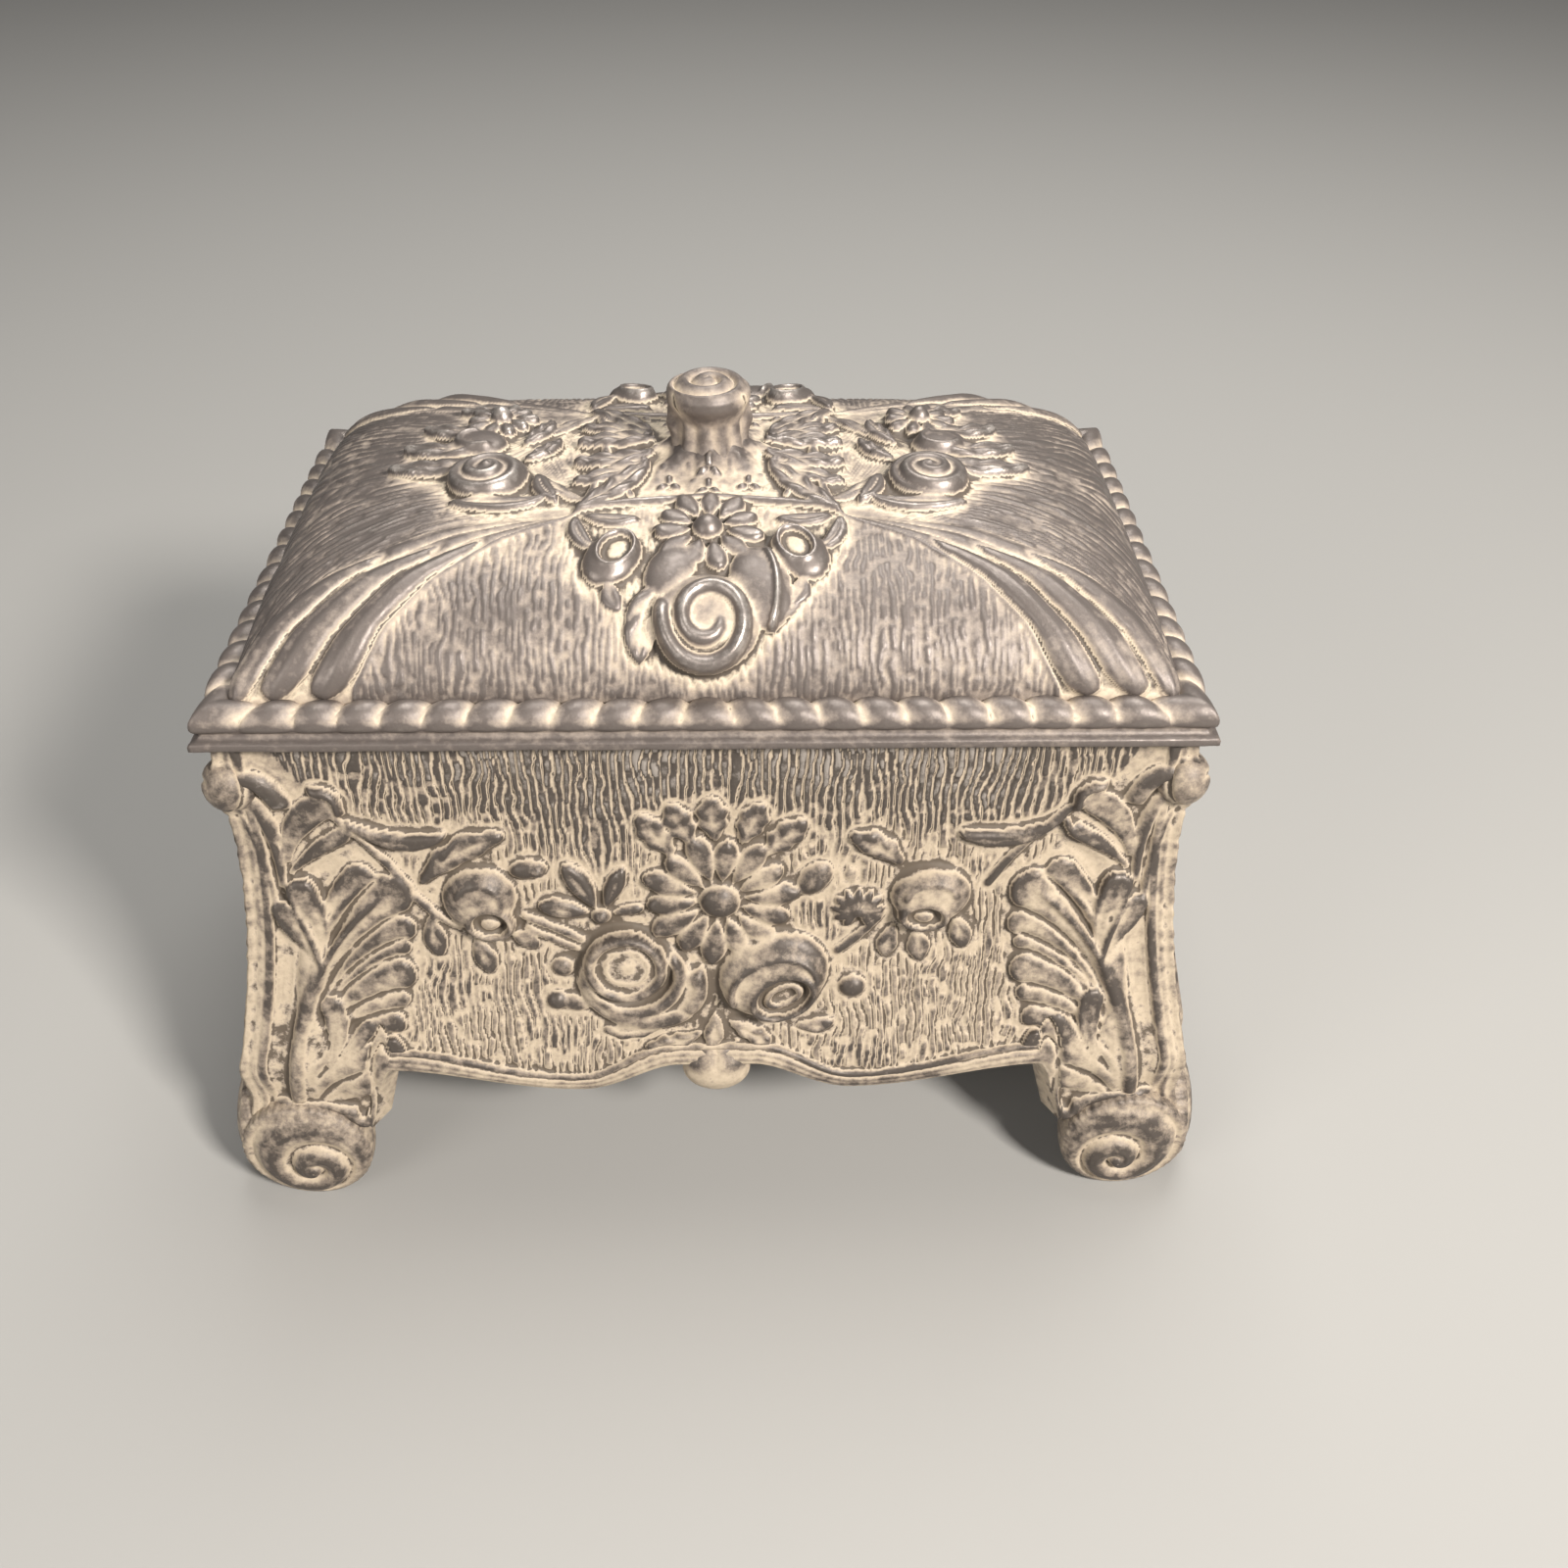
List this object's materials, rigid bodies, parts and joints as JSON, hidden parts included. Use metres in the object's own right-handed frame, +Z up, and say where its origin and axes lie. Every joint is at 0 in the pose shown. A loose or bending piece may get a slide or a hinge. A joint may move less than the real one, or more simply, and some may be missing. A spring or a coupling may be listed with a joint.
{
  "type": "vanity trinket box",
  "caption": "Cast metal trinket casket on scroll feet with floral relief, a bead-edged domed lid, a rosebud knob, a rear pin hinge and a silk lining.",
  "frame": {"origin": "middle of the footprint at the level of the table", "axes": "+Z up, +X to the right along the width, front of the box towards -Y, hinge along the +Y side"},
  "size_m": [0.1144, 0.0774, 0.0863],
  "materials": {
    "patinated_metal": "cast soft metal with a tan patina in the hollows and dark worn high spots",
    "worn_pewter": "dark grey cast soft metal, rubbed bright on the high spots",
    "tinned_plate": "dull tinned sheet",
    "hinge_brass": "aged, matt",
    "lining_card": "plain pulp board",
    "silk_lining": "faded padded silk satin",
    "silk_cord": "twisted silk cord"
  },
  "bodies": {
    "box": {"front_wall": "patinated_metal", "back_wall": "patinated_metal", "left_wall": "patinated_metal", "right_wall": "patinated_metal", "bottom_plate": "tinned_plate", "hinge_box_leaf": "hinge_brass", "hinge_pin": "hinge_brass", "floor_card": "lining_card", "floor_pad": "silk_lining", "front_lining": "silk_lining", "back_lining": "silk_lining", "left_lining": "silk_lining", "right_lining": "silk_lining", "box_cord": "silk_cord"},
    "lid": {"lid_shell": "worn_pewter", "knob": "worn_pewter", "hinge_lid_leaf": "hinge_brass", "lid_card": "lining_card", "lid_pad": "silk_lining", "lid_cord": "silk_cord"}
  },
  "joints": [
    {"name": "lid_hinge", "type": "hinge", "parent": "box", "child": "lid", "pos_m": [0, 0.0352, 0.06285], "axis": [-1, 0, 0], "range_deg": [0, 105]}
  ]
}
